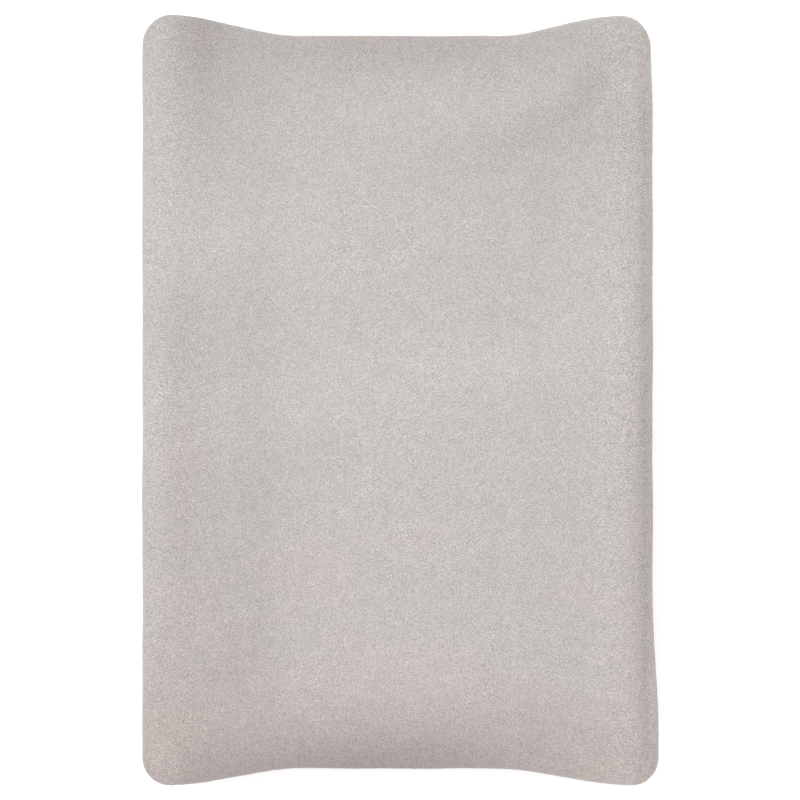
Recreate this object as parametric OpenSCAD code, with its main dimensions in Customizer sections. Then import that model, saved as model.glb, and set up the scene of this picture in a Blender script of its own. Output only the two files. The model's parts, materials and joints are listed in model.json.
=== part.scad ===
// Contoured changing pad with a fitted terry cover.
// A foam slab with two foam wedges lies in a wipe-clean zipped case, under an elasticated terry cover.
// X is the width, +Y points to the head end, Z = 0 is the surface that the pad lies on.

/* [Pad] */
// Width over the cover
pad_w = 500; // [480:10:560]
// Length over the cover, head to foot
pad_l = 750; // [720:10:850]
// Height of the two raised long sides
side_h = 98; // [90:1:110]
// Height of the trough floor between them
trough_h = 42; // [40:1:50]
// Half width of the flat trough floor
trough_half = 100; // [85:5:115]
// Distance from the side to the inner edge of the ridge's crest
ridge_inset = 30; // [26:1:36]
// Corner radius seen from above
corner_r = 30; // [28:1:40]
// Roundness of the upper edges
edge_r = 18; // [17:0.5:20]
// Roundness of the lower edges
base_r = 10; // [9:0.5:12]

/* [Cover] */
// Thickness of the terry fabric
terry_t = 2.2; // [1.8:0.1:2.4]
// Width of the edge that turns under the pad
turn_under = 62; // [56:1:68]
// Corner radius of the elasticated opening
opening_r = 75; // [70:1:85]
// Width of the elastic in the hem
elastic_w = 9; // [7:0.5:10]

/* [Case] */
// Thickness of the coated case fabric
case_t = 0.9; // [0.7:0.1:1]
// Radius of the piping cord
piping_r = 1; // [0.8:0.1:1.1]
// Radius of a round grip pad
grip_r = 20; // [15:1:22]
// Length of the zip between its end stops
zip_l = 530; // [480:10:540]

/* [Zip slider] */
// Length of the slider body
slider_l = 14; // [12:0.5:15]
// Length of the pull tab beyond its hinge
pull_l = 30; // [24:1:32]
// Width of the pull tab's grip
pull_w = 8; // [6:0.5:9]

/* [Hidden] */

half_w = pad_w / 2;
half_l = pad_l / 2;
ridge_x = half_w - ridge_inset;

// Insets of the nested layers, measured from the outside of the terry
case_inset = terry_t + 1.4;
wadding_inset = case_inset + case_t + 0.9;
wadding_t = 4;
foam_inset = wadding_inset + wadding_t + 0.4;
foam_sink = 2;            // the wedge lies this much lower still, clear of the wadding's facets
foam_end_inset = foam_inset + 3.2;

// Heights above the surface that the pad lies on
cover_z = 0.4;            // underside of the turned-under terry
sheet_z = 4.4;            // underside of the case's base sheet
sheet_top_z = sheet_z + case_t;
tape_t = 0.6;
tape_top_z = sheet_top_z + tape_t;
foam_z = sheet_top_z + 0.7;
foam_split_z = trough_h - foam_inset - foam_sink;
wadding_z = 16;           // lower edge of the wadding on the walls

// Hem: a binding folded over the terry's raw edge, with the elastic in its fold
binding_t = 0.35;
binding_overlap = 8;
binding_w = elastic_w + 5;
binding_h = cover_z + terry_t + binding_t + 0.05;
elastic_t = 1.2;

// Breathing eyelets in the base sheet
vent_x = 140;
vent_y = half_l - 105;
vent_hole_r = 3.2;
vent_r = 2.6;

// Zip cross-section
teeth_gap = 0.7;          // half the gap that the slider's post runs in
teeth_w = 3;
teeth_t = 2.4;
teeth_z = sheet_top_z + tape_t / 2 - teeth_t / 2;
slot_half = 8;            // half width of the slot in the base sheet
tape_w = 13;
tape_x = teeth_gap + teeth_w;
stop_l = 4;
plate_half = 5.6;
plate_t = 1.2;
flange_w = 1.4;
post_half = 0.4;
lower_plate_z = 2.6;
upper_plate_z = 7.2;
hinge_z = 1.6;
pin_r = 0.65;
bore_r = 0.7;
lug_x = 2;
lug_w = 1.2;
pull_t = 1.2;
slider_y = zip_l / 2 - slider_l / 2 - 0.5;
hinge_y = slider_y + slider_l / 2 - 2;

// Points around one ring of a layer
corner_steps = 8;
end_steps = 44;           // across the width, where the profile curves
ring_n = 4 * (corner_steps + 1) + 2 * (end_steps - 1);
crown_angles = [0 : 22.5 : 90];
base_angles = [0, 45, 90];
piping_angle = 55;
piping_depth = 3.7;       // from the outside of the terry to the piping's centre
piping_clear = 6;         // degrees of the upper edge left free on each side of the piping
piping_sides = 8;

// ---- Shape of the pad ----

// Straight ramp from 0 to 1 with a soft start and end
soft = 0.3;
function ramp(t) =
    t <= 0 ? 0 :
    t >= 1 ? 1 :
    t < soft ? t * t / (2 * soft) / (1 - soft) :
    t > 1 - soft ? 1 - (1 - t) * (1 - t) / (2 * soft) / (1 - soft) :
    (t - soft / 2) / (1 - soft);

// Height of the terry's upper surface across the width
function top_z(x) =
    trough_h + (side_h - trough_h) * ramp((abs(x) - trough_half) / (ridge_x - trough_half));

function mix(a, b, t) = a + (b - a) * t;

function corner_points(hw, hl, r, quadrant) =
    let (cx = (quadrant == 0 || quadrant == 3 ? 1 : -1) * (hw - r),
         cy = (quadrant < 2 ? 1 : -1) * (hl - r))
    [for (i = [0 : corner_steps])
        let (a = 90 * (quadrant + i / corner_steps)) [cx + r * cos(a), cy + r * sin(a)]];

function between(p, q, steps) = [for (i = [1 : steps - 1]) mix(p, q, i / steps)];

function last(list) = list[len(list) - 1];

// Rounded rectangle at an inset from the outside of the terry, anticlockwise from the right side
function outline(inset, r) =
    let (hw = half_w - inset,
         hl = half_l - inset,
         c = [for (k = [0 : 3]) corner_points(hw, hl, r, k)])
    concat(c[0], between(last(c[0]), c[1][0], end_steps),
           c[1], c[2], between(last(c[2]), c[3][0], end_steps), c[3]);

function flat_ring(inset, r, z) = [for (p = outline(inset, r)) [p[0], p[1], z]];

// Rings of a layer whose surface lies d inside the terry's outer surface
function base_ring(d, z, angle) =
    let (r = base_r - d, inset = d + r * (1 - sin(angle)))
    flat_ring(inset, corner_r - inset, z + r * (1 - cos(angle)));

function crown_ring(d, angle) =
    let (r = edge_r - d, inset = d + r * (1 - cos(angle)))
    [for (p = outline(inset, corner_r - inset)) [p[0], p[1], top_z(p[0]) - d - r * (1 - sin(angle))]];

function base_rings(d, z) = [for (a = base_angles) base_ring(d, z, a)];
function crown_rings(d, angles) = [for (a = angles) crown_ring(d, a)];
function reversed(list) = [for (i = [len(list) - 1 : -1 : 0]) list[i]];
function flatten(lists) = [for (list = lists) each list];

// Two triangles for each step between ring a and ring b
function strip(a, b) =
    [for (i = [0 : ring_n - 1]) let (j = (i + 1) % ring_n)
        each [[a * ring_n + i, b * ring_n + i, b * ring_n + j],
              [a * ring_n + i, b * ring_n + j, a * ring_n + j]]];

// Flat facets that close a ring, each running from the head end to the foot end
function lid(a, flip) =
    [for (i = [0 : ring_n / 2 - 2])
        let (j = ring_n - 1 - i, face = [i, i + 1, j - 1, j])
        [for (v = flip ? reversed(face) : face) a * ring_n + v]];

// Closed skin through rings, from its inner face to its outer face
module skin(rings) {
    m = len(rings);
    polyhedron(
        points = flatten(rings),
        faces = concat(lid(0, false), flatten([for (k = [0 : m - 2]) strip(k, k + 1)]), lid(m - 1, true)),
        convexity = 6);
}

// Closed band through rings, the last joined to the first
module band(rings) {
    m = len(rings);
    polyhedron(
        points = flatten(rings),
        faces = flatten([for (k = [0 : m - 1]) strip(k, (k + 1) % m)]),
        convexity = 6);
}

// Plate with true arcs at its corners
module plan(inset, end_inset, r) {
    hw = half_w - inset;
    hl = half_l - end_inset;
    union() {
        square([2 * hw, 2 * (hl - r)], center = true);
        square([2 * (hw - r), 2 * hl], center = true);
        for (sx = [-1, 1], sy = [-1, 1])
            translate([sx * (hw - r), sy * (hl - r)]) circle(r, $fn = 64);
    }
}

module slab(z0, z1, inset, end_inset, r) {
    translate([0, 0, z0]) linear_extrude(z1 - z0) plan(inset, end_inset, r);
}

module plan_ring(z0, z1, outer, inner, r) {
    difference() {
        slab(z0, z1, outer, outer, r);
        slab(z0 - 1, z1 + 1, inner, inner, r - (inner - outer));
    }
}

// ---- Terry cover ----

module cover_panel() {
    inner = terry_t;
    color("#c8c1bb") skin(concat(
        reversed(crown_rings(inner, crown_angles)),
        reversed(base_rings(inner, cover_z + terry_t)),
        [flat_ring(turn_under, opening_r, cover_z + terry_t), flat_ring(turn_under, opening_r, cover_z)],
        base_rings(0, cover_z),
        crown_rings(0, crown_angles)));
}

// Seam allowances that lie flat inside the four corners
module corner_seams() {
    seam_w = 6;
    seam_t = 0.7;
    seam_r = corner_r - case_inset + 0.1;
    seam_z = base_r + 4;
    color("#b9b1aa")
        for (sx = [-1, 1], sy = [-1, 1])
            translate([sx * (half_w - corner_r), sy * (half_l - corner_r), seam_z])
                rotate([0, 0, atan2(sy, sx)])
                    translate([seam_r, -seam_w / 2, 0])
                        cube([seam_t, seam_w, side_h - edge_r - seam_z - 2]);
}

module hem_binding() {
    outer = turn_under - binding_overlap;
    inner = turn_under + binding_w;
    r = opening_r + binding_overlap;
    color("#bdb5ae") difference() {
        plan_ring(0, binding_h, outer, inner, r);
        plan_ring(binding_t, binding_h - binding_t, outer - 1, inner - 0.8, r + 1);
    }
}

module hem_elastic() {
    outer = turn_under + 2;
    z = cover_z + (terry_t - elastic_t) / 2;
    color("#f2f0ec") plan_ring(z, z + elastic_t, outer, outer + elastic_w, opening_r - 2);
}

module care_label() {
    label_w = 28;
    label_l = 42;
    hem_y = -(half_l - turn_under - binding_w);
    color("#f7f7f5")
        translate([60, hem_y - 5, binding_h]) cube([label_w, label_l, 0.4]);
}

// ---- Wipe-clean case ----

module case_top() {
    start = piping_angle + piping_clear;
    angles = [start, (start + 90) / 2, 90];
    inner = case_inset + case_t;
    color("#f4f3f0") skin(concat(reversed(crown_rings(inner, angles)), crown_rings(case_inset, angles)));
}

module case_wall() {
    angles = [for (k = [0 : 2]) (piping_angle - piping_clear) * k / 2];
    inner = case_inset + case_t;
    color("#f4f3f0") band(concat(
        base_rings(case_inset, sheet_z),
        crown_rings(case_inset, angles),
        reversed(crown_rings(inner, angles)),
        reversed(base_rings(inner, sheet_top_z))));
}

// Piping in the seam between the wall and the base sheet, with the wall's edge outside it
base_piping_inset = base_r + 0.2;
base_sheet_inset = base_piping_inset + 2 * piping_r + 0.2;
module case_piping_base() {
    z = sheet_z - 0.4;
    inner = base_piping_inset + 2 * piping_r;
    color("#e4e1dc")
        plan_ring(z, z + 2 * piping_r, base_piping_inset, inner, corner_r - base_piping_inset);
}

module case_base() {
    slot_l = zip_l + 16;
    color("#efeeea") difference() {
        slab(sheet_z, sheet_top_z, base_sheet_inset, base_sheet_inset, corner_r - base_sheet_inset);
        translate([-slot_half, -slot_l / 2, sheet_z - 1]) cube([2 * slot_half, slot_l, case_t + 2]);
        for (sx = [-1, 1])
            translate([sx * vent_x, vent_y, sheet_z - 1]) cylinder(r = vent_hole_r, h = case_t + 2, $fn = 48);
    }
}

module case_piping_top() {
    r = edge_r - piping_depth;
    color("#e4e1dc") band([for (k = [0 : piping_sides - 1])
        let (a = -360 * k / piping_sides,
             arm = r + piping_r * cos(a),
             along = piping_r * sin(a),
             inset = edge_r - arm * cos(piping_angle) + along * sin(piping_angle),
             drop = edge_r - arm * sin(piping_angle) - along * cos(piping_angle))
        [for (p = outline(inset, corner_r - inset)) [p[0], p[1], top_z(p[0]) - drop]]]);
}

module vent_eyelets() {
    color("#c9c9c6")
        for (sx = [-1, 1]) translate([sx * vent_x, vent_y, 0])
            rotate_extrude($fn = 64) polygon([
                [vent_r, sheet_z - 0.8], [5.6, sheet_z - 0.8], [6.4, sheet_z - 0.4], [6.4, sheet_z],
                [vent_hole_r, sheet_z], [vent_hole_r, sheet_top_z], [5.4, sheet_top_z],
                [5.4, sheet_top_z + 0.3], [vent_r, sheet_top_z + 0.3]]);
}

module grip_pads() {
    grip_x = vent_x;
    grip_spacing = (half_l - turn_under - binding_w - grip_r) * 0.74;
    chamfer = 1.2;
    color("#d9d7d2")
        for (sx = [-1, 1], row = [-1 : 1]) translate([sx * grip_x, row * grip_spacing, 0]) {
            cylinder(r1 = grip_r - chamfer, r2 = grip_r, h = chamfer, $fn = 64);
            translate([0, 0, chamfer]) cylinder(r = grip_r, h = sheet_z - chamfer, $fn = 64);
        }
}

// ---- Zip in the base of the case ----

module zip_tape(side) {
    x = side > 0 ? tape_x : -tape_x - tape_w;
    color("#e9e7e3") translate([x, -zip_l / 2 - 6, sheet_top_z]) cube([tape_w, zip_l + 12, tape_t]);
}

module zip_teeth(side) {
    x = side > 0 ? teeth_gap : -teeth_gap - teeth_w;
    color("#dddbd7") translate([x, -zip_l / 2, teeth_z]) cube([teeth_w, zip_l, teeth_t]);
}

module zip_end_stops() {
    color("#b8b8b6")
        for (s = [-1, 1])
            translate([-tape_x, s * (zip_l / 2 + stop_l / 2) - stop_l / 2, teeth_z])
                cube([2 * tape_x, stop_l, teeth_t]);
}

module slider_plate(z, t) {
    nose = 3.4;
    y = slider_l / 2;
    right = [[nose, -y], [plate_half, -y + 4], [plate_half, y - 1.5], [plate_half - 1.5, y]];
    left = [for (p = reversed(right)) [-p[0], p[1]]];
    translate([0, 0, z]) linear_extrude(t) polygon(concat(right, left));
}

module zip_slider() {
    rail_l = slider_l - 6;
    lug_y = hinge_y - slider_y;
    color("#b4b4b2") translate([0, slider_y, 0]) difference() {
        union() {
            slider_plate(lower_plate_z, plate_t);
            slider_plate(upper_plate_z, plate_t - 0.2);
            translate([-post_half, -3, lower_plate_z])
                cube([2 * post_half, 6, upper_plate_z - lower_plate_z + 0.5]);
            for (s = [-1, 1]) {
                translate([s > 0 ? plate_half - flange_w : -plate_half, -rail_l / 2, lower_plate_z])
                    cube([flange_w, rail_l, plate_t + 1]);
                translate([s > 0 ? plate_half - flange_w : -plate_half, -rail_l / 2, upper_plate_z - 0.8])
                    cube([flange_w, rail_l, plate_t]);
                translate([s > 0 ? lug_x : -lug_x - lug_w, lug_y - 1.5, hinge_z - 1])
                    cube([lug_w, 3, lower_plate_z - hinge_z + 1.5]);
            }
        }
        translate([-lug_x - lug_w - 1, lug_y, hinge_z]) rotate([0, 90, 0])
            cylinder(r = bore_r, h = 2 * (lug_x + lug_w + 1), $fn = 32);
    }
}

module zip_pull() {
    neck = lug_x - 0.3;
    neck_l = 10;
    color("#a9a9a7") translate([0, hinge_y, hinge_z]) {
        translate([-lug_x - lug_w, 0, 0]) rotate([0, 90, 0])
            cylinder(r = pin_r, h = 2 * (lug_x + lug_w), $fn = 32);
        difference() {
            translate([0, 0, -pull_t / 2]) linear_extrude(pull_t) union() {
                translate([-neck, -neck_l]) square([2 * neck, neck_l]);
                translate([-pull_w / 2, -pull_l + pull_w / 2]) square([pull_w, pull_l - pull_w / 2 - neck_l]);
                translate([0, -pull_l + pull_w / 2]) circle(pull_w / 2, $fn = 48);
            }
            translate([0, -pull_l + pull_w / 2, -pull_t]) cylinder(r = 1.8, h = 2 * pull_t, $fn = 32);
        }
    }
}

// ---- Core ----

// Sheet of fibre wadding that rounds off the cut foam
module wadding() {
    inner = wadding_inset + wadding_t;
    color("#fbfaf7") skin(concat(
        reversed(crown_rings(inner, crown_angles)),
        [flat_ring(inner, corner_r - inner, wadding_z),
         flat_ring(wadding_inset, corner_r - wadding_inset, wadding_z)],
        crown_rings(wadding_inset, crown_angles)));
}

foam_corner_r = corner_r - foam_inset - 0.2;
module foam_base() {
    color("#f3e7c8") difference() {
        slab(foam_z, foam_split_z, foam_inset, foam_end_inset, foam_corner_r);
        // Dents that the zip presses into the soft foam
        translate([-tape_x - tape_w - 1, -zip_l / 2 - 10, foam_z - 1])
            cube([2 * (tape_x + tape_w + 1), zip_l + 20, tape_top_z - foam_z + 1.4]);
        translate([-plate_half - 1.4, -zip_l / 2 - 10, foam_z - 1])
            cube([2 * (plate_half + 1.4), zip_l + 20, upper_plate_z + plate_t - foam_z + 1.4]);
    }
}

module foam_wedge(side) {
    toe = trough_half + 4;
    face = half_w - foam_inset;
    sink = foam_inset + foam_sink;
    round_r = 9;
    steps = 10;
    slope = [for (k = [1 : steps]) let (x = mix(toe, ridge_x, k / steps)) [x, top_z(x) - sink]];
    shoulder = [for (a = [90 : -15 : 0])
        [face - round_r * (1 - cos(a)), side_h - sink - round_r * (1 - sin(a))]];
    profile = concat([[toe, foam_split_z]], slope, shoulder, [[face, foam_split_z]]);
    color("#efdfb8") mirror([side > 0 ? 0 : 1, 0, 0]) intersection() {
        rotate([90, 0, 0]) linear_extrude(2 * (half_l - foam_end_inset), center = true) polygon(profile);
        slab(0, side_h, foam_inset, foam_end_inset, foam_corner_r);
    }
}

cover_panel();
corner_seams();
hem_binding();
hem_elastic();
care_label();
case_top();
case_wall();
case_base();
case_piping_top();
case_piping_base();
vent_eyelets();
grip_pads();
zip_tape(-1);  // zip_tape_left
zip_tape(1);  // zip_tape_right
zip_teeth(-1);  // zip_teeth_left
zip_teeth(1);  // zip_teeth_right
zip_end_stops();
zip_slider();
zip_pull();
wadding();
foam_base();
foam_wedge(-1);  // foam_wedge_left
foam_wedge(1);  // foam_wedge_right
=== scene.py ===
"""Contoured changing pad under a fitted terry cover: its looks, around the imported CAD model.

Units are metres. +Y is the head end and +Z is up, as in the CAD model.
"""
import json
import math

import bpy
import numpy as np
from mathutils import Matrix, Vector


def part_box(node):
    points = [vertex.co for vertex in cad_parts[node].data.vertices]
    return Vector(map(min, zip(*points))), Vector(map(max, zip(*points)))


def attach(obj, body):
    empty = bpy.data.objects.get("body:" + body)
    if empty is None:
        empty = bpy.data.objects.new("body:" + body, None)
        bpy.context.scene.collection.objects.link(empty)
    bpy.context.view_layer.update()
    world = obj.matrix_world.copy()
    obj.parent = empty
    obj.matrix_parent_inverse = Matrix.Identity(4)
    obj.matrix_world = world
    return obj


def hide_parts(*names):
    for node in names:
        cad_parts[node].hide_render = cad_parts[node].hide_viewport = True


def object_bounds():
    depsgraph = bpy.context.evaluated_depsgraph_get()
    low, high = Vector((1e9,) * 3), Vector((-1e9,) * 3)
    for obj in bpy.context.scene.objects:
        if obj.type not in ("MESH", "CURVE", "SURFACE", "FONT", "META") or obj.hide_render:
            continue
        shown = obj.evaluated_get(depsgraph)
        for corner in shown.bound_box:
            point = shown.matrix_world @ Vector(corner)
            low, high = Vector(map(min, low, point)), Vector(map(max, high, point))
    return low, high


MM = 0.001

# The pad's shape, as in the CAD model
CORNER_R = 30 * MM
EDGE_R = 18 * MM
BASE_R = 10 * MM
TROUGH_HALF = 100 * MM
RIDGE_INSET = 30 * MM
RAMP_SOFTNESS = 0.3
TURN_UNDER = 62 * MM
OPENING_R = 75 * MM
TERRY_T = 2.2 * MM
PIPING_ANGLE = 55

# The terry mesh
GRID_STEP = 4.6 * MM
CORNER_CELLS = 8
CROWN_ANGLES = (80, 70, 64, 60, 57, 55, 53, 50, 46, 40, 30, 20, 10, 0)
WALL_STEPS = 14
BASE_ANGLES = (22, 45, 68, 90)
FLANGE_STEPS = 12

# The terry's folds: heights of the puckers, the slack and the corner seams, and the seams' half width
PUCKER = 2.2 * MM
SLACK = 0.8 * MM
SEAM_DIP = 0.35 * MM
SEAM_HALF = 2.5 * MM

# Hem, label and zip: the hem's middle is HEM_INSET inside the pad's outline
HEM_INSET = 65 * MM
HEM_CORNER_R = 72 * MM
HEM_HALF = 10.8 * MM
HEM_PLACES = 1560
HEM_ACROSS = (1, 0.8, 0.45, 0.1, -0.25, -0.6, -0.88)
STITCH_ROWS = (8.6 * MM, 2.6 * MM)
STITCH_PITCH = 3.4 * MM
LABEL_GRID = (9, 15)
LABEL_T = 0.25 * MM
TOOTH_PITCH = 3 * MM

# Stage
CAMERA_PLACE = (2.4 * MM, -0.5 * MM, 1.15)
CAMERA_LENS = 49.05
FLOOR_HALF = 4.0
FLOOR_DROP = 0.3 * MM
FLOOR_GLOW = 0.2
WORLD_STRENGTH = 0.97


# ---- Small helpers ----

def smooth(values, start, end):
    """0 before start, 1 after end, and an even curve between them."""
    t = np.clip((values - start) / (end - start), 0, 1)
    return t * t * (3 - 2 * t)


def bell(values, width):
    """1 at zero, fading out evenly to both sides."""
    return np.exp(-(values / width) ** 2)


def ramp(t):
    """Straight ramp from 0 to 1 with a soft start and end."""
    t = np.clip(t, 0, 1)
    low = t * t / (2 * RAMP_SOFTNESS)
    high = 1 - RAMP_SOFTNESS - (1 - t) ** 2 / (2 * RAMP_SOFTNESS)
    middle = t - RAMP_SOFTNESS / 2
    rise = np.where(t < RAMP_SOFTNESS, low, np.where(t > 1 - RAMP_SOFTNESS, high, middle))
    return rise / (1 - RAMP_SOFTNESS)


def mesh_object(name, points, faces, smooth_shaded=True):
    """A mesh object in the scene, made of points and faces."""
    mesh = bpy.data.meshes.new(name)
    mesh.from_pydata([tuple(p) for p in points], [], faces)
    mesh.update()
    if smooth_shaded:
        mesh.shade_smooth()
    else:
        mesh.shade_flat()
    obj = bpy.data.objects.new(name, mesh)
    bpy.context.scene.collection.objects.link(obj)
    return obj


def waves(along, total, pitches, seed):
    """Uneven waves round a closed line of length total, between about -1 and 1."""
    rng = np.random.default_rng(seed)
    turn = 2 * math.pi * along / total
    value = np.zeros_like(along)
    for pitch in pitches:
        count = round(total / pitch)
        drift = rng.uniform(0.5, 1.5) * np.sin(turn * rng.integers(2, 6) + rng.uniform(0, 6))
        value += np.sin(turn * count + rng.uniform(0, 6) + drift)
    return value / len(pitches)


def grid_faces(nx, ny):
    """Faces of a grid whose ny rows of nx points follow each other in the list."""
    return [(j * nx + i, j * nx + i + 1, (j + 1) * nx + i + 1, (j + 1) * nx + i)
            for j in range(ny - 1) for i in range(nx - 1)]


# ---- Node helpers ----

def add(tree, kind, inputs=None, **settings):
    """Adds a node. An input that is given a socket is linked to it."""
    node = tree.nodes.new(kind)
    for key, value in settings.items():
        setattr(node, key, value)
    for key, value in (inputs or {}).items():
        if isinstance(value, bpy.types.NodeSocket):
            tree.links.new(value, node.inputs[key])
        else:
            node.inputs[key].default_value = value
    return node


def material(name, colour, roughness, **sockets):
    """A Principled material, its node tree and its shader."""
    mat = bpy.data.materials.new(name)
    mat.use_nodes = True
    shader = mat.node_tree.nodes["Principled BSDF"]
    shader.inputs["Base Color"].default_value = (*colour, 1)
    shader.inputs["Roughness"].default_value = roughness
    for key, value in sockets.items():
        shader.inputs[key.replace("_", " ")].default_value = value
    return mat, mat.node_tree, shader


def object_coords(tree, scale=(1, 1, 1), turn=(0, 0, 0)):
    """The object's own coordinates, scaled and turned."""
    coords = add(tree, "ShaderNodeTexCoord").outputs["Object"]
    inputs = {"Vector": coords, "Scale": scale, "Rotation": turn}
    return add(tree, "ShaderNodeMapping", inputs).outputs["Vector"]


def noise(tree, vector, scale, detail=2.0, roughness=0.5):
    """Soft noise between 0 and 1."""
    inputs = {"Vector": vector, "Scale": scale, "Detail": detail, "Roughness": roughness}
    return add(tree, "ShaderNodeTexNoise", inputs).outputs["Fac"]


def cells(tree, vector, scale, feature="F1"):
    """Distance to the nearest of many scattered points, about scale of them to a metre."""
    inputs = {"Vector": vector, "Scale": scale}
    return add(tree, "ShaderNodeTexVoronoi", inputs, feature=feature).outputs["Distance"]


def spread(tree, value, low, high, to_low, to_high):
    """Maps a value's range onto another one, smoothly and clamped."""
    inputs = {"Value": value, "From Min": low, "From Max": high, "To Min": to_low, "To Max": to_high}
    return add(tree, "ShaderNodeMapRange", inputs, interpolation_type="SMOOTHSTEP").outputs["Result"]


def math_node(tree, operation, a, b):
    """The result of one operation on two numbers or sockets."""
    return add(tree, "ShaderNodeMath", {0: a, 1: b}, operation=operation).outputs[0]


def mix_colours(tree, factor, a, b, blend="MIX"):
    """Blends two colours, each of them three numbers or a socket."""
    node = add(tree, "ShaderNodeMix", {"Factor": factor}, data_type="RGBA", blend_type=blend)
    for socket, value in ((node.inputs[6], a), (node.inputs[7], b)):
        if isinstance(value, bpy.types.NodeSocket):
            tree.links.new(value, socket)
        else:
            socket.default_value = (*value, 1)
    return node.outputs[2]


def scaled_colour(tree, colour, value):
    """A colour multiplied by a number that varies over the surface."""
    combined = add(tree, "ShaderNodeCombineColor", {"Red": value, "Green": value, "Blue": value})
    return mix_colours(tree, 1.0, colour, combined.outputs["Color"], "MULTIPLY")


def tint(tree, shader, colour, value):
    """Sets the base colour to a colour multiplied by a number that varies over the surface."""
    tree.links.new(scaled_colour(tree, colour, value), shader.inputs["Base Color"])


def bump(tree, shader, height, distance, strength=1.0):
    """Roughens the surface with a height map."""
    node = add(tree, "ShaderNodeBump", {"Height": height, "Distance": distance, "Strength": strength})
    tree.links.new(node.outputs["Normal"], shader.inputs["Normal"])


# ---- Materials ----

TERRY = (0.622, 0.587, 0.566)

# Patches where the nap lies lighter or darker: centre and radii in mm, turn in degrees, change in per cent
NAP_PATCHES = (
    (-55, -390, 245, 62, 5, -36),
    (-35, 380, 90, 370, -107, -18),
    (258, 75, 26, 500, -2, -30),
    (-190, 390, 26, 155, -3, -17),
    (90, 310, 155, 39, 2, 13),
    (-70, 10, 41, 500, -82, 4.5),
    (-210, -45, 20, 210, 0, -11.5),
    (225, -390, 14, 110, 0, 12),
    (-176, 162, 62, 80, 76, 7),
    (-257, -390, 70, 200, -27, -12),
    (190, 310, 20, 31, -35, -10),
    (160, 72, 25, 160, -5, 3),
    (-228, -356, 18, 28, 8, 13),
)
# Strokes in the nap: both ends and the half width in mm, change in per cent
NAP_STROKES = (
    (18, 262, 105, 279, 5, 3),
    (105, 279, 165, 306, 7, 3),
    (110, 262, 180, 295, 16, -3),
    (-190, -215, -183, -250, 8, 3),
    (-164, -225, -160, -285, 6, -4),
    (-30, -45, -26, -125, 7, 1.5),
    (94, 50, 96, 5, 6, 1.5),
    (-180, 212, -130, 198, 4, 1.5),
    (75, -240, 195, -285, 7, 1.2),
    (237, 335, 238.5, -345, 3.5, -5),
    (245, 330, 247, -350, 4, 8),
)


def side_share(z, top):
    """0 on the upper surface and 1 from 10 mm below it, where the nap lies flat."""
    return smooth(top - z, 5 * MM, 10 * MM)


def nap_tone(x, y, z, top):
    """How light the nap looks. The brushed patches fade out 25 to 60 mm below the upper surface."""
    tone = np.ones_like(x)
    for cx, cy, rx, ry, turn, change in NAP_PATCHES:
        c, s = math.cos(math.radians(turn)), math.sin(math.radians(turn))
        u = ((x / MM - cx) * c + (y / MM - cy) * s) / rx
        v = ((y / MM - cy) * c - (x / MM - cx) * s) / ry
        tone *= 1 + change / 100 * np.exp(-u * u - v * v)
    for x0, y0, x1, y1, width, change in NAP_STROKES:
        length = math.hypot(x1 - x0, y1 - y0)
        along = ((x / MM - x0) * (x1 - x0) + (y / MM - y0) * (y1 - y0)) / length
        across = ((y / MM - y0) * (x1 - x0) - (x / MM - x0) * (y1 - y0)) / length
        past_end = np.maximum(np.maximum(-along, along - length), 0)
        tone *= 1 + change / 100 * bell(np.hypot(across, past_end), width)
    upper = smooth(z, top - 60 * MM, top - 25 * MM)
    return (0.93 + (tone - 0.93) * upper) * (1 + 0.06 * side_share(z, top))


def blush_tone(x, y, z, top, tone):
    """How rosy the yarn looks, 0 to 1: more towards the foot and where it is dark, less at the sides."""
    u, v = x / (250 * MM), y / (370 * MM)
    rosy = 2.0 - 1.6 * v + v * v - 0.6 * u * u + 14 * (1 - tone)
    return np.clip(rosy / 7 - 0.25 * side_share(z, top), 0, 1)


def grain_tone(x, y, z, top):
    """How strongly the loops stand out: most on the right ridge near the head, least down the sides."""
    ridge = bell(x - 222 * MM, 14 * MM) * smooth(y, -200 * MM, 150 * MM)
    return 1 + 0.25 * ridge - 0.4 * side_share(z, top)


def corner_seam_shade(tree, place, box):
    """Darker along the seams that run down the four corners, 1 elsewhere."""
    half_w, half_l, top = box[1]
    corner = half_w - CORNER_R
    to_side = math_node(tree, "ABSOLUTE", place.outputs["X"], 0.0)
    to_end = math_node(tree, "ABSOLUTE", place.outputs["Y"], 0.0)
    gap = math_node(tree, "SUBTRACT", math_node(tree, "SUBTRACT", to_end, to_side), half_l - half_w)
    line = spread(tree, math_node(tree, "ABSOLUTE", gap, 0.0), 0.6 * MM, 2.4 * MM, 0.26, 0)
    outside = spread(tree, to_side, corner, corner + 6 * MM, 0, 1)
    below = spread(tree, place.outputs["Z"], top - 26 * MM, top - 12 * MM, 1, 0)
    seam = math_node(tree, "MULTIPLY", line, math_node(tree, "MULTIPLY", outside, below))
    return math_node(tree, "SUBTRACT", 1.0, seam)


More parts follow.
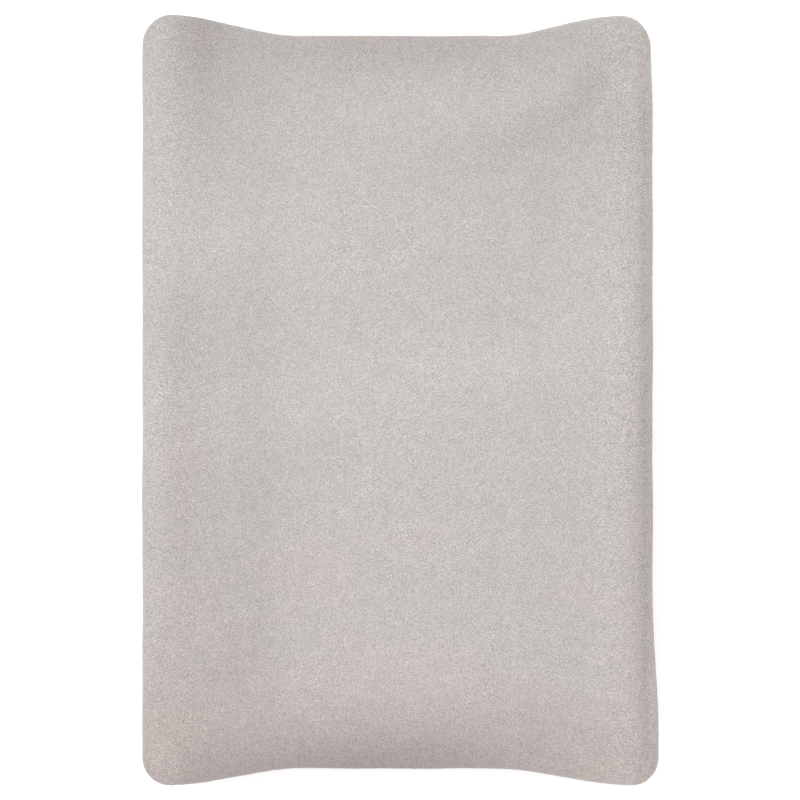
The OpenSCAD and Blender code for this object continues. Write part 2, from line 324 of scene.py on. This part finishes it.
def terry_material(box):
    """Short-pile terry: loops about 1.2 mm apart, brushed patches of nap and a soft sheen."""
    mat, tree, shader = material("terry", TERRY, 0.95, Sheen_Weight=0.12, Sheen_Roughness=0.4,
                                 Sheen_Tint=(0.96, 0.98, 0.93, 1), Specular_IOR_Level=0.1)
    coords = object_coords(tree)
    tufts = noise(tree, coords, 1150, 2.5, 0.8)
    courses = noise(tree, object_coords(tree, (420, 1150, 420)), 1.0, 2.0, 0.7)
    loops = cells(tree, coords, 800)
    clumps = noise(tree, coords, 190, 2.0, 0.6)
    patches = noise(tree, coords, 75, 2.0, 0.6)
    swept = noise(tree, object_coords(tree, (9, 20, 9), (0, 0, 0.3)), 1.0, 3.0, 0.5)
    nap = add(tree, "ShaderNodeAttribute", attribute_name="nap").outputs["Fac"]
    blush = add(tree, "ShaderNodeAttribute", attribute_name="blush").outputs["Fac"]
    grain = add(tree, "ShaderNodeAttribute", attribute_name="grain").outputs["Fac"]
    place = add(tree, "ShaderNodeSeparateXYZ", {"Vector": coords})
    to_side = math_node(tree, "ABSOLUTE", place.outputs["X"], 0.0)

    contrast = math_node(tree, "MULTIPLY", grain, spread(tree, tufts, 0.22, 0.78, -0.37, 0.37))
    rows = spread(tree, to_side, 0.17, 0.22, 0.08, 0.17)
    rows = math_node(tree, "MULTIPLY", rows, grain)
    rib = math_node(tree, "MULTIPLY", rows, spread(tree, courses, 0.25, 0.75, -1, 1))
    texture = math_node(tree, "ADD", contrast, math_node(tree, "ADD", rib, 1.0))
    shade = math_node(tree, "MULTIPLY", nap, texture)
    shade = math_node(tree, "MULTIPLY", shade, spread(tree, loops, 0.1, 0.75, 1.10, 0.80))
    shade = math_node(tree, "MULTIPLY", shade, corner_seam_shade(tree, place, box))
    for value, amount in ((clumps, 0.03), (patches, 0.03), (swept, 0.016)):
        shade = math_node(tree, "MULTIPLY", shade, spread(tree, value, 0.22, 0.78, 1 - amount, 1 + amount))
    rosy = tuple(c * k for c, k in zip(TERRY, (1.042, 0.979, 0.979)))
    grey = tuple(c * k for c, k in zip(TERRY, (0.986, 1.007, 1.007)))
    blotches = spread(tree, swept, 0.25, 0.75, -0.14, 0.14)
    tinted = mix_colours(tree, math_node(tree, "ADD", blush, blotches), grey, rosy)
    towards_side = spread(tree, to_side, 0.12, 0.25, 0, 1)
    beige = mix_colours(tree, towards_side, tinted, (1.01, 1.0, 0.987), "MULTIPLY")
    tint(tree, shader, beige, shade)

    height = math_node(tree, "ADD", tufts, math_node(tree, "MULTIPLY", clumps, 0.8))
    height = math_node(tree, "SUBTRACT", height, math_node(tree, "MULTIPLY", loops, 0.7))
    bump(tree, shader, height, 0.9 * MM, 0.8)
    return mat


def woven_material(name, colour, pitch, roughness=0.85, sheen=0.1):
    """Plain weave: two crossed sets of threads, pitch metres apart."""
    mat, tree, shader = material(name, colour, roughness, Sheen_Weight=sheen, Specular_IOR_Level=0.25)
    coords = object_coords(tree)
    inputs = {"Vector": coords, "Scale": math.pi / 10 / pitch, "Distortion": 0.6}
    settings = {"wave_type": "BANDS", "wave_profile": "SIN"}
    warp = add(tree, "ShaderNodeTexWave", inputs, bands_direction="X", **settings)
    weft = add(tree, "ShaderNodeTexWave", inputs, bands_direction="Y", **settings)
    threads = math_node(tree, "MAXIMUM", warp.outputs["Fac"], weft.outputs["Fac"])
    uneven = noise(tree, coords, 60, 3.0)
    light = spread(tree, threads, 0, 1, 0.82, 1.05)
    shade = math_node(tree, "MULTIPLY", light, spread(tree, uneven, 0.3, 0.7, 0.95, 1.04))
    tint(tree, shader, colour, shade)
    bump(tree, shader, threads, 0.15 * MM, 0.7)
    return mat


def coated_material(name, colour, roughness=0.38):
    """Coated fabric: a fine embossed grain under a wipe-clean surface."""
    mat, tree, shader = material(name, colour, roughness, Coat_Weight=0.15, Coat_Roughness=0.3)
    coords = object_coords(tree)
    grain = cells(tree, coords, 900, "SMOOTH_F1")
    clouds = noise(tree, coords, 14, 4.0)
    tint(tree, shader, colour, spread(tree, clouds, 0.3, 0.7, 0.97, 1.02))
    rough = spread(tree, clouds, 0.3, 0.7, roughness - 0.05, roughness + 0.08)
    tree.links.new(rough, shader.inputs["Roughness"])
    bump(tree, shader, grain, 0.12 * MM, 0.5)
    return mat


def porous_material(name, colour, cell):
    """Open-cell foam or fibre: pores of one size, slightly uneven in shade."""
    mat, tree, shader = material(name, colour, 0.95, Specular_IOR_Level=0.1, Subsurface_Weight=0.05)
    coords = object_coords(tree)
    pores = cells(tree, coords, 1 / cell)
    uneven = noise(tree, coords, 9, 4.0)
    light = spread(tree, pores, 0, 0.6, 0.86, 1.05)
    shade = math_node(tree, "MULTIPLY", light, spread(tree, uneven, 0.3, 0.7, 0.95, 1.02))
    tint(tree, shader, colour, shade)
    bump(tree, shader, pores, 0.6 * MM, 0.7)
    return mat


def metal_material(name, colour, roughness):
    """Plated metal with fine polishing marks and dull spots."""
    mat, tree, shader = material(name, colour, roughness, Metallic=1.0)
    marks = noise(tree, object_coords(tree, (3000, 300, 3000)), 1.0, 3.0)
    dull = noise(tree, object_coords(tree), 300, 3.0)
    scratched = spread(tree, marks, 0.3, 0.7, 0, 0.06)
    spotted = spread(tree, dull, 0.4, 0.7, roughness - 0.03, roughness + 0.1)
    tree.links.new(math_node(tree, "ADD", scratched, spotted), shader.inputs["Roughness"])
    bump(tree, shader, marks, 0.02 * MM, 0.4)
    return mat


def rubber_material(name, colour):
    """Soft rubber: small studs and a little dust."""
    mat, tree, shader = material(name, colour, 0.7, Specular_IOR_Level=0.35)
    coords = object_coords(tree)
    studs = cells(tree, coords, 420)
    dust = noise(tree, coords, 90, 4.0)
    tint(tree, shader, colour, spread(tree, dust, 0.3, 0.7, 0.93, 1.03))
    tree.links.new(spread(tree, dust, 0.3, 0.7, 0.62, 0.8), shader.inputs["Roughness"])
    bump(tree, shader, studs, 0.25 * MM, 0.6)
    return mat


def plastic_material(name, colour):
    """Moulded plastic, slightly mottled."""
    mat, tree, shader = material(name, colour, 0.45)
    mottle = noise(tree, object_coords(tree), 250, 3.0)
    tint(tree, shader, colour, spread(tree, mottle, 0.3, 0.7, 0.95, 1.03))
    tree.links.new(spread(tree, mottle, 0.3, 0.7, 0.4, 0.55), shader.inputs["Roughness"])
    bump(tree, shader, mottle, 0.05 * MM, 0.4)
    return mat


# ---- Terry cover ----

def grid_lines(half, zone):
    """Grid lines from -half to half, closer together in the corner zones."""
    flat = half - zone
    steps = round(2 * flat / GRID_STEP)
    corner = np.linspace(flat, half, CORNER_CELLS + 1)[1:]
    return np.concatenate([-corner[::-1], np.linspace(-flat, flat, steps + 1), corner])


def round_corners(x, y, half_x, half_y, zone):
    """Moves a rectangle's grid points so that its corners become quarter circles of radius zone."""
    dx = np.clip((np.abs(x) - (half_x - zone)) / zone, 0, 1)
    dy = np.clip((np.abs(y) - (half_y - zone)) / zone, 0, 1)
    shift_x = zone * dx * (1 - np.sqrt(1 - dy ** 2 / 2))
    shift_y = zone * dy * (1 - np.sqrt(1 - dx ** 2 / 2))
    return x - np.sign(x) * shift_x, y - np.sign(y) * shift_y


class PadShape:
    """The terry's outer surface: its height across the pad and the offsets of its folds."""

    def __init__(self, mounts):
        low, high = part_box("cover_panel")
        self.half_w = high.x
        self.half_l = high.y
        self.side = high.z
        self.base = low.z
        self.trough = {m["name"]: m for m in mounts}["lying_surface"]["pos_m"][2]
        self.ridge_x = self.half_w - RIDGE_INSET

    def height(self, x):
        """Height of the smooth upper surface: a flat trough, and ramps up to the two long sides."""
        rise = ramp((np.abs(x) - TROUGH_HALF) / (self.ridge_x - TROUGH_HALF))
        return self.trough + (self.side - self.trough) * rise

    def relief(self, x, y):
        """Slack and tension folds on the upper surface."""
        z = np.zeros_like(x)
        # A tension fold from the trough up the right ramp, near the head end
        t = np.clip((x - 16 * MM) / (182 * MM), 0, 1)
        line = (271 + 20 * t + 28 * t ** 2) * MM
        strength = smooth(x, 0, 60 * MM) * (1 - smooth(x, 170 * MM, 215 * MM))
        z += 1.6 * MM * strength * bell(y - line, 8 * MM)
        z -= 1.2 * MM * strength * bell(y - line + 18 * MM, 12 * MM)
        # The trough floor is slightly crowned by the filling
        z += 3 * MM * bell(x, 90 * MM) * bell(y, 280 * MM)
        # A small crease at the left ridge
        z -= 0.5 * MM * bell(y - 118 * MM, 3 * MM) * bell(x + 238 * MM, 14 * MM)
        # The surface rolls down a little towards both open ends
        z -= 1.2 * MM * smooth(np.abs(y), 290 * MM, 372 * MM)
        # Gentle unevenness of the filling
        z += 0.5 * MM * np.sin(x * 31 + 1.3 * np.sin(y * 13)) * np.sin(y * 23 + 0.7)
        z += 0.35 * MM * np.sin(x * 67 + y * 29 + 2.0) * np.sin(y * 51 - x * 17)
        return z

    def pull(self, x, y, z):
        """Sideways pull of the fabric: fuller corners and a bulge at the right foot corner."""
        upper = smooth(z, 8 * MM, 60 * MM)
        corner = smooth(np.abs(x), 120 * MM, 225 * MM) * smooth(np.abs(y), 240 * MM, 372 * MM)
        fullness = np.where(y > 0, 2.0 - 1.2 * smooth(x, 180 * MM, 230 * MM), 3.0)
        y = y + fullness * np.sign(y) * MM * corner * upper
        bulge = smooth(-y, 180 * MM, 340 * MM) * smooth(x, 150 * MM, 245 * MM)
        x = x + 6 * MM * bulge * upper
        lean = smooth(y, 280 * MM, 370 * MM) * smooth(x, 200 * MM, 250 * MM)
        x = x - 2.5 * MM * lean * upper
        full = smooth(-y, 335 * MM, 368 * MM) * smooth(np.abs(x), 212 * MM, 243 * MM) * upper
        x = x + np.sign(x) * 0.8 * MM * full
        y = y - 1.4 * MM * full
        middle = 1 - smooth(np.abs(x), 110 * MM, 215 * MM)
        y = y - 5.5 * MM * middle * smooth(-y, 250 * MM, 372 * MM) * smooth(z, 4 * MM, 20 * MM)
        return x, y


def cover_points(shape):
    """The outer surface's points and faces: a grid on top, then rings down to the opening under the pad."""
    top_x = shape.half_w - EDGE_R
    top_y = shape.half_l - EDGE_R
    zone = CORNER_R - EDGE_R
    lines_x = grid_lines(top_x, zone)
    lines_y = grid_lines(top_y, zone)
    nx, ny = len(lines_x), len(lines_y)
    flat_x, flat_y = np.meshgrid(lines_x, lines_y)
    x, y = round_corners(flat_x, flat_y, top_x, top_y, zone)
    z = shape.height(x) + shape.relief(x, y)
    points = [np.stack([x.ravel(), y.ravel(), z.ravel()], axis=1)]
    faces = grid_faces(nx, ny)

    edge = (list(range(nx - 1)) + [j * nx + nx - 1 for j in range(ny - 1)]
            + [(ny - 1) * nx + i for i in range(nx - 1, 0, -1)] + [j * nx for j in range(ny - 1, 0, -1)])
    rings = side_rings(shape, *(grid.ravel()[edge] for grid in (flat_x, flat_y, x, y)))
    above = edge
    count = nx * ny
    for ring in rings:
        below = list(range(count, count + len(edge)))
        for i in range(len(edge)):
            j = (i + 1) % len(edge)
            faces.append((above[i], below[i], below[j], above[j]))
        points.append(ring)
        above = below
        count += len(edge)
    points = np.concatenate(points)
    points[:, 0], points[:, 1] = shape.pull(points[:, 0], points[:, 1], points[:, 2])
    return points, faces


def side_rings(shape, flat_x, flat_y, x, y):
    """Rings from the crown down the wall, round the base edge and in to the opening."""
    zone = CORNER_R - EDGE_R
    normal_x = (x - np.sign(x) * np.minimum(np.abs(x), shape.half_w - CORNER_R)) / zone
    normal_y = (y - np.sign(y) * np.minimum(np.abs(y), shape.half_l - CORNER_R)) / zone
    seam = np.abs(np.arctan2(np.abs(normal_y), np.abs(normal_x)) - math.pi / 4) * CORNER_R
    at_corner = np.minimum(np.abs(normal_x), np.abs(normal_y)) > 0.05
    seam = np.where(at_corner, seam, 1.0)
    outer_x, outer_y = x + normal_x * EDGE_R, y + normal_y * EDGE_R
    steps = np.hypot(np.diff(outer_x, append=outer_x[0]), np.diff(outer_y, append=outer_y[0]))
    along = np.concatenate([[0], np.cumsum(steps)[:-1]])
    total = steps.sum()
    puckers = waves(along, total, (27 * MM, 19 * MM, 43 * MM), 5)
    slack = waves(along, total, (160 * MM, 95 * MM, 240 * MM), 8)
    pucker = (0.5 + 0.5 * bell(seam, 45 * MM)) * PUCKER * puckers
    seam_dip = SEAM_DIP * bell(seam, SEAM_HALF)
    # The case's piping prints through the terry, more on the right
    print_height = np.where(x > 0, 0.7, 0.4) * MM
    rings = []

    def ring(inset, z, outward=0.0):
        """Adds a ring at height z, inset from the wall and then moved outward."""
        px = x + normal_x * (EDGE_R - inset + outward)
        py = y + normal_y * (EDGE_R - inset + outward)
        rings.append(np.stack([px, py, z + np.zeros_like(px)], axis=1))

    for angle in CROWN_ANGLES:
        a = math.radians(angle)
        arc = EDGE_R * math.radians(angle - PIPING_ANGLE)
        out = print_height * bell(arc, 1.5 * MM) - 0.6 * print_height * bell(arc + 3.6 * MM, 1.8 * MM)
        out = out - seam_dip * float(1 - smooth(angle, 25, 50))
        out = out + 0.5 * MM * slack * math.cos(a)
        inset = EDGE_R * (1 - math.cos(a))
        px = x + normal_x * (EDGE_R - inset)
        py = y + normal_y * (EDGE_R - inset)
        z = shape.height(px) - EDGE_R * (1 - math.sin(a)) + shape.relief(px, py)
        ring(inset, z + out * math.sin(a), out * math.cos(a))

    top = shape.height(outer_x) + shape.relief(outer_x, outer_y) - EDGE_R
    foot = shape.base + BASE_R
    for k in range(1, WALL_STEPS + 1):
        down = k / WALL_STEPS
        z = top + (foot - top) * down
        near_base = 1 - smooth(z, foot, foot + 34 * MM)
        belly = 4 * down * (1 - down) * (top - foot) / 70 * 2.2
        ring(0, z, belly + SLACK * slack + pucker * near_base - seam_dip)

    for angle in BASE_ANGLES:
        a = math.radians(angle)
        out = pucker - seam_dip
        lift = 0.5 * MM * (1 + puckers) * (1 - math.cos(a))
        ring(BASE_R * (1 - math.cos(a)), shape.base + BASE_R * (1 - math.sin(a)) + lift, out * math.cos(a))

    edge_x, edge_y = rings[-1][:, 0], rings[-1][:, 1]
    hole_x, hole_y = shape.half_w - TURN_UNDER, shape.half_l - TURN_UNDER
    hem_x, hem_y = round_corners(flat_x * hole_x / (shape.half_w - EDGE_R),
                                 flat_y * hole_y / (shape.half_l - EDGE_R), hole_x, hole_y, OPENING_R)
    gathers = waves(along, total, (16 * MM, 23 * MM), 11)
    for k in range(1, FLANGE_STEPS + 1):
        t = k / FLANGE_STEPS
        lift = 0.5 * MM * (1 + puckers) * (1 - t)
        lift = lift + 0.6 * MM * (1 + gathers) * math.sin(math.pi * min(1, t * 1.15)) * (0.4 + 0.6 * t)
        ring_xy = np.stack([edge_x + (hem_x - edge_x) * t, edge_y + (hem_y - edge_y) * t], axis=1)
        rings.append(np.column_stack([ring_xy, np.maximum(shape.base + lift, shape.base)]))
    return rings


def make_cover(shape, mat):
    """The terry cover: one thick shell that turns under the pad, with its nap stored at its points."""
    points, faces = cover_points(shape)
    cover = mesh_object("terry_cover", points, faces)
    x, y, z = points.T
    top = shape.height(x)
    tone = nap_tone(x, y, z, top)
    looks = {"nap": tone, "blush": blush_tone(x, y, z, top, tone), "grain": grain_tone(x, y, z, top)}
    for name, values in looks.items():
        cover.data.attributes.new(name, "FLOAT", "POINT").data.foreach_set("value", values)
    cover.data.materials.append(mat)
    thick = cover.modifiers.new("thickness", "SOLIDIFY")
    thick.thickness = TERRY_T
    thick.offset = -1
    rounded = cover.modifiers.new("smooth", "SUBSURF")
    rounded.levels = 1
    rounded.render_levels = 1
    lumps = bpy.data.textures.new("terry_lumps", "CLOUDS")
    lumps.noise_scale = 5 * MM
    lumps.noise_depth = 2
    uneven = cover.modifiers.new("lumps", "DISPLACE")
    uneven.texture = lumps
    uneven.texture_coords = "LOCAL"
    uneven.mid_level = 0.5
    uneven.strength = 0.7 * MM
    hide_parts("cover_panel")
    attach(cover, "pad")


# ---- Hem, label and zip teeth under the pad ----

def round_track(half_x, half_y, radius, count):
    """Evenly spaced points on a rounded rectangle, their outward normals and the length round it."""
    corners = ((half_x - radius, half_y - radius), (radius - half_x, half_y - radius),
               (radius - half_x, radius - half_y), (half_x - radius, radius - half_y))
    points, normals = [], []
    for k, (cx, cy) in enumerate(corners):
        for a in np.radians(np.linspace(90 * k, 90 * k + 90, 25)):
            points.append((cx + radius * math.cos(a), cy + radius * math.sin(a)))
            normals.append((math.cos(a), math.sin(a)))
    points, normals = np.array(points + points[:1]), np.array(normals + normals[:1])
    lengths = np.concatenate([[0], np.cumsum(np.hypot(*np.diff(points, axis=0).T))])
    places = np.linspace(0, lengths[-1], count, endpoint=False)
    x, y, nx, ny = (np.interp(places, lengths, column) for column in (*points.T, *normals.T))
    return x, y, nx, ny, places, lengths[-1]


def tube_faces(rings, around, closed=True):
    """Faces of a tube whose rings of points follow each other in the list."""
    faces = []
    for j in range(rings if closed else rings - 1):
        a, b = j * around, (j + 1) % rings * around
        faces += [(a + i, a + (i + 1) % around, b + (i + 1) % around, b + i) for i in range(around)]
    return faces


def capped_tube(start, rings, around):
    """Faces of a tube with closed ends, whose points begin at number start in the list."""
    last = start + (rings - 1) * around
    walls = [tuple(start + i for i in face) for face in tube_faces(rings, around, closed=False)]
    return walls + [tuple(range(start + around - 1, start - 1, -1)), tuple(range(last, last + around))]


def hem_track(shape, count):
    """Points along the middle of the hem."""
    return round_track(shape.half_w - HEM_INSET, shape.half_l - HEM_INSET, HEM_CORNER_R, count)


def hem_bottom(across, places, total):
    """Height of the hem's underside: flat where it is sewn to the terry, gathered over the elastic."""
    pleats = waves(places, total, (7.5 * MM, 5.6 * MM, 9.5 * MM), 21)
    return (0.16 + 0.34 * (1 + pleats) * smooth(-across, -3 * MM, 3 * MM)) * MM


def make_hem(shape, mat):
    """The gathered binding round the opening."""
    x, y, nx, ny, places, total = hem_track(shape, HEM_PLACES)
    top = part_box("hem_binding")[1].z
    sway = waves(places, total, (11 * MM, 17 * MM, 29 * MM), 22)
    lift = waves(places, total, (8 * MM, 6.3 * MM, 13 * MM), 23)
    profile = [(a, 0) for a in HEM_ACROSS] + [(-1.03, 0.5)] + [(a, 1) for a in reversed(HEM_ACROSS)]
    columns = []
    for across, side in profile:
        out = across * HEM_HALF
        loose = smooth(-out, -3 * MM, 10 * MM)
        upper = top + (0.35 * (1 + lift) * loose - 0.1) * MM
        lower = hem_bottom(out, places, total)
        out = out + 0.9 * MM * sway * loose
        columns.append(np.stack([x + nx * out, y + ny * out, lower + (upper - lower) * side], axis=1))
    points = np.stack(columns, axis=1).reshape(-1, 3)
    hem = mesh_object("hem_ruffle", points, tube_faces(len(x), len(columns)))
    hem.data.materials.append(mat)
    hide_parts("hem_binding")
    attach(hem, "pad")
    return hem


def make_stitches(shape, thread):
    """Two rows of stitches along the hem."""
    total = hem_track(shape, HEM_PLACES)[-1]
    count = round(total / STITCH_PITCH)
    x, y, nx, ny, places, total = hem_track(shape, count)
    points, faces = [], []
    for across in STITCH_ROWS:
        z = hem_bottom(across, places, total)
        for k in range(count):
            start = len(points)
            for along, thick in ((-1.25, 0.05), (-0.9, 0.24), (0, 0.3), (0.9, 0.24), (1.25, 0.05)):
                px = x[k] + nx[k] * across - ny[k] * along * MM
                py = y[k] + ny[k] * across + nx[k] * along * MM
                for a in np.radians((0, 72, 144, 216, 288)):
                    side = thick * math.cos(a) * MM
                    up = thick * math.sin(a) * 0.6 * MM
                    points.append((px + nx[k] * side, py + ny[k] * side, z[k] + up))
            faces += capped_tube(start, 5, 5)
    stitches = mesh_object("hem_stitches", points, faces)
    stitches.data.materials.append(thread)
    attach(stitches, "pad")


def make_label(mat):
    """A blank satin label sewn in under the hem, its loose end slightly curled."""
    low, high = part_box("care_label")
    across, along = np.meshgrid(*(np.linspace(0, 1, count) for count in LABEL_GRID))
    loose = smooth(along, 0.15, 1)
    z = low.z + (0.15 + 0.75 * loose * along + 0.22 * loose * np.sin(across * 5 + along * 4)) * MM
    x = low.x + (high.x - low.x) * across
    y = low.y + (high.y - low.y) * along
    points = np.stack([x, y, z], axis=2).reshape(-1, 3)
    label = mesh_object("satin_label", points, grid_faces(*LABEL_GRID))
    label.data.materials.append(mat)
    label.modifiers.new("thickness", "SOLIDIFY").thickness = LABEL_T
    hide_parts("care_label")
    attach(label, "pad")


def make_teeth(node, mat):
    """One side's moulded teeth, clamped on the edge of the tape. The two sides are half a pitch apart."""
    low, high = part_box(node)
    side = 1 if low.x > 0 else -1
    inner, outer = sorted((abs(low.x), abs(high.x)))
    half = ((inner, 0.62), (inner + 0.2 * MM, 0.85), (inner + 0.7 * MM, 0.85), (inner + 0.95 * MM, 0.5),
            (inner + 1.3 * MM, 0.5), (inner + 1.5 * MM, 0.9), (outer, 0.9))
    outline = [(x, -y * MM) for x, y in half] + [(x, y * MM) for x, y in reversed(half)]
    middle = (inner + outer) / 2
    points, faces = [], []
    count = int((high.y - low.y) / TOOTH_PITCH - 0.5)
    for k in range(count):
        y0 = low.y + TOOTH_PITCH * (k + (0.5 if side > 0 else 1))
        start = len(points)
        for z, size in ((low.z, 0.84), (low.z + 0.25 * MM, 1), (high.z - 0.25 * MM, 1), (high.z, 0.84)):
            points += [(side * (middle + (x - middle) * size), y0 + y * size, z) for x, y in outline]
        faces += capped_tube(start, 4, len(outline))
    teeth = mesh_object(node + "_moulded", points, faces, smooth_shaded=False)
    teeth.data.materials.append(mat)
    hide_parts(node)
    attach(teeth, "pad")


# ---- Stage ----

def make_floor():
    """The white table, a little below the pad's feet."""
    half = FLOOR_HALF
    corners = [(-half, -half, 0), (half, -half, 0), (half, half, 0), (-half, half, 0)]
    floor = mesh_object("floor", corners, [(0, 1, 2, 3)])
    floor.location.z = -FLOOR_DROP
    mat, _, shader = material("white_table", (0.88, 0.88, 0.88), 0.6)
    shader.inputs["Emission Color"].default_value = (1, 1, 1, 1)
    shader.inputs["Emission Strength"].default_value = FLOOR_GLOW
    floor.data.materials.append(mat)


def area_light(name, place, target, size, power):
    """A rectangular light at place that points at target."""
    data = bpy.data.lights.new(name, "AREA")
    data.shape = "RECTANGLE"
    data.size, data.size_y = size
    data.energy = power
    light = bpy.data.objects.new(name, data)
    light.location = place
    direction = Vector(target) - Vector(place)
    light.rotation_euler = direction.to_track_quat("-Z", "Y").to_euler()
    bpy.context.scene.collection.objects.link(light)


def make_lights():
    """White light from all round, and a softbox overhead."""
    world = bpy.data.worlds.new("studio")
    world.use_nodes = True
    background = world.node_tree.nodes["Background"]
    background.inputs["Color"].default_value = (1, 1, 1, 1)
    background.inputs["Strength"].default_value = WORLD_STRENGTH
    bpy.context.scene.world = world
    area_light("overhead_softbox", (-0.35, 0.55, 2.3), (0, 0, 0), (1.2, 1.2), 12)


def make_camera():
    """The camera, straight above the pad. It looks down without being turned."""
    data = bpy.data.cameras.new("camera")
    data.lens = CAMERA_LENS
    data.sensor_width = 36
    camera = bpy.data.objects.new("camera", data)
    camera.location = CAMERA_PLACE
    bpy.context.scene.collection.objects.link(camera)
    bpy.context.scene.camera = camera


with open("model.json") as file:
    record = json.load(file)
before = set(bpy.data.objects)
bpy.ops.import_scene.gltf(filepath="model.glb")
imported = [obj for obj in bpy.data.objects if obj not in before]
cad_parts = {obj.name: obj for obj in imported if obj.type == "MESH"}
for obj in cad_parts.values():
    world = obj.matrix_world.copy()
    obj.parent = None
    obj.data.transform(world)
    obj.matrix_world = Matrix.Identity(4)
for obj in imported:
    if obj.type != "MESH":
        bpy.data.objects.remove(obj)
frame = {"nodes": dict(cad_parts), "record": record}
cad_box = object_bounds()
bpy.context.scene.view_settings.view_transform = "Standard"
make_camera()
make_lights()
make_floor()

pad_shape = PadShape(frame["record"]["mounts"])
make_cover(pad_shape, terry_material(cad_box))

NODE_MATERIALS = {
    "corner_seams": woven_material("seam_tape", (0.50, 0.46, 0.43), 1.0 * MM),
    "hem_binding": woven_material("hem_fabric", (0.47, 0.44, 0.415), 0.8 * MM),
    "hem_elastic": woven_material("elastic", (0.86, 0.85, 0.82), 1.2 * MM),
    "care_label": woven_material("label_satin", (0.92, 0.92, 0.91), 0.4 * MM, 0.35, 0.3),
    "case_top": coated_material("case_fabric", (0.88, 0.875, 0.86)),
    "case_base": coated_material("case_base_fabric", (0.84, 0.835, 0.82)),
    "case_piping_top": coated_material("piping", (0.82, 0.81, 0.79)),
    "vent_eyelets": metal_material("eyelet_metal", (0.72, 0.71, 0.70), 0.12),
    "grip_pads": rubber_material("grip_rubber", (0.68, 0.67, 0.65)),
    "zip_tape_left": woven_material("zip_tape", (0.82, 0.815, 0.80), 0.6 * MM),
    "zip_teeth_left": plastic_material("zip_teeth", (0.80, 0.795, 0.78)),
    "zip_end_stops": metal_material("zip_metal", (0.62, 0.62, 0.61), 0.3),
    "wadding": porous_material("wadding", (0.92, 0.915, 0.90), 1.5 * MM),
    "foam_base": porous_material("foam", (0.86, 0.80, 0.64), 1.1 * MM),
}
SAME_MATERIAL = {
    "case_wall": "case_top", "case_piping_base": "case_piping_top", "zip_tape_right": "zip_tape_left",
    "zip_teeth_right": "zip_teeth_left", "zip_slider": "zip_end_stops", "zip_pull": "zip_end_stops",
    "foam_wedge_left": "foam_base", "foam_wedge_right": "foam_base",
}
THREAD = woven_material("hem_thread", (0.62, 0.585, 0.56), 0.3 * MM, 0.6)

hem = make_hem(pad_shape, NODE_MATERIALS["hem_binding"])
make_stitches(pad_shape, THREAD)
make_label(NODE_MATERIALS["care_label"])
for node_name in ("zip_teeth_left", "zip_teeth_right"):
    make_teeth(node_name, NODE_MATERIALS["zip_teeth_left"])
for node_name, obj in frame["nodes"].items():
    mat = NODE_MATERIALS.get(SAME_MATERIAL.get(node_name, node_name))
    if mat:
        obj.data.materials.clear()
        obj.data.materials.append(mat)
